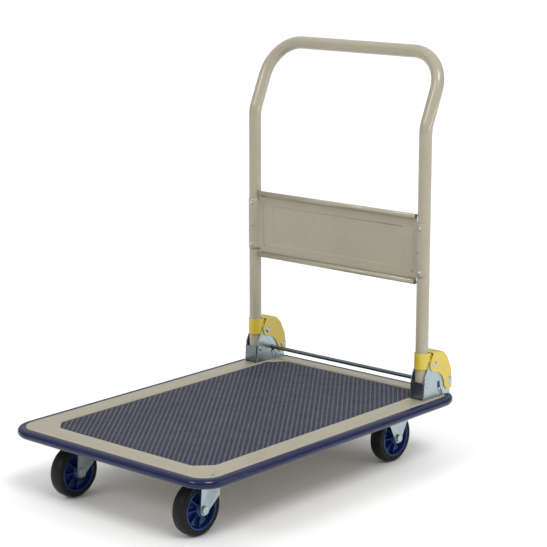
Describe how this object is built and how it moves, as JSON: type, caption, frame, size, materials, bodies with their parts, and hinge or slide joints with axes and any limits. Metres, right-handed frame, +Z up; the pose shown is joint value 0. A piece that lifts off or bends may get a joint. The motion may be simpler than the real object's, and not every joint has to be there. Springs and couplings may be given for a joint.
{
  "type": "folding platform cart",
  "caption": "Folding platform cart: rimmed steel deck with ribbed mat, bumper, hinged tube handle with panel, foot lock bar, swivel and fixed casters.",
  "frame": {"origin": "centre of the bounding box in plan, on the floor under the wheels", "axes": "+Z up, +X towards the handle end, +Y to the right of the person pushing"},
  "size_m": [0.747, 0.513, 0.819],
  "materials": {
    "cream_paint": "semi-gloss powder coat",
    "zinc": "bright zinc plate, satin",
    "dark_zinc": "dark zinc, satin",
    "yellow_paint": "semi-gloss paint",
    "bumper_vinyl": "glossy moulded vinyl",
    "mat_vinyl": "ribbed matt vinyl",
    "tyre_rubber": "smooth rubber",
    "rim_plastic": "glossy moulded plastic",
    "fastener": "bright zinc",
    "ball_steel": "polished steel",
    "bush_plastic": "acetal"
  },
  "bodies": {
    "deck": {"deck_pan": "cream_paint", "deck_mat": "mat_vinyl", "bumper": "bumper_vinyl", "front_crossmember": "cream_paint", "rear_crossmember": "cream_paint", "deck_stiffeners": "cream_paint", "left_bracket": "zinc", "right_bracket": "zinc", "left_front_stop": "dark_zinc", "right_front_stop": "dark_zinc", "left_guard": "yellow_paint", "right_guard": "yellow_paint", "fold_pins": "fastener", "rear_rivets": "fastener", "stop_rivets": "fastener", "bracket_screws": "fastener", "lock_springs": "fastener", "front_left_plate": "zinc", "front_right_plate": "zinc", "front_left_kingpin": "zinc", "front_right_kingpin": "zinc", "rear_left_fork": "zinc", "rear_right_fork": "zinc", "rear_left_axle": "fastener", "rear_right_axle": "fastener", "caster_bolts": "fastener", "caster_nuts": "fastener"},
    "handle": {"handle_tube": "cream_paint", "handle_panel": "cream_paint", "panel_screws": "fastener", "left_collar": "yellow_paint", "right_collar": "yellow_paint"},
    "lock_bar": {"lock_rod": "dark_zinc", "left_lock_arms": "dark_zinc", "right_lock_arms": "dark_zinc", "lock_guide_pins": "fastener"},
    "front_left_swivel": {"front_left_fork": "zinc", "front_left_balls": "ball_steel", "front_left_axle": "fastener"},
    "front_right_swivel": {"front_right_fork": "zinc", "front_right_balls": "ball_steel", "front_right_axle": "fastener"},
    "front_left_wheel": {"front_left_tyre": "tyre_rubber", "front_left_rim": "rim_plastic", "front_left_bush": "bush_plastic"},
    "front_right_wheel": {"front_right_tyre": "tyre_rubber", "front_right_rim": "rim_plastic", "front_right_bush": "bush_plastic"},
    "rear_left_wheel": {"rear_left_tyre": "tyre_rubber", "rear_left_rim": "rim_plastic", "rear_left_bush": "bush_plastic"},
    "rear_right_wheel": {"rear_right_tyre": "tyre_rubber", "rear_right_rim": "rim_plastic", "rear_right_bush": "bush_plastic"}
  },
  "joints": [
    {"name": "handle_fold", "type": "hinge", "parent": "deck", "child": "handle", "pos_m": [0.3025, 0, 0.203], "axis": [0, -1, 0], "range_deg": [0, 90]},
    {"name": "lock_press", "type": "hinge", "parent": "deck", "child": "lock_bar", "pos_m": [0.35, 0, 0.1636], "axis": [0, -1, 0], "range_deg": [0, 18.9]},
    {"name": "front_left_swivel_turn", "type": "hinge", "parent": "deck", "child": "front_left_swivel", "pos_m": [-0.2655, -0.1575, 0.1], "axis": [0, 0, 1], "continuous": true},
    {"name": "front_right_swivel_turn", "type": "hinge", "parent": "deck", "child": "front_right_swivel", "pos_m": [-0.2655, 0.1575, 0.1], "axis": [0, 0, 1], "continuous": true},
    {"name": "front_left_wheel_spin", "type": "hinge", "parent": "front_left_swivel", "child": "front_left_wheel", "pos_m": [-0.2943, -0.1575, 0.05], "axis": [0, 1, 0], "continuous": true},
    {"name": "front_right_wheel_spin", "type": "hinge", "parent": "front_right_swivel", "child": "front_right_wheel", "pos_m": [-0.2943, 0.1575, 0.05], "axis": [0, 1, 0], "continuous": true},
    {"name": "rear_left_wheel_spin", "type": "hinge", "parent": "deck", "child": "rear_left_wheel", "pos_m": [0.2655, -0.1575, 0.05], "axis": [0, 1, 0], "continuous": true},
    {"name": "rear_right_wheel_spin", "type": "hinge", "parent": "deck", "child": "rear_right_wheel", "pos_m": [0.2655, 0.1575, 0.05], "axis": [0, 1, 0], "continuous": true}
  ],
  "couplings": [
    {"joint": "lock_press", "follows": "handle_fold", "ratio": 0.21}
  ]
}
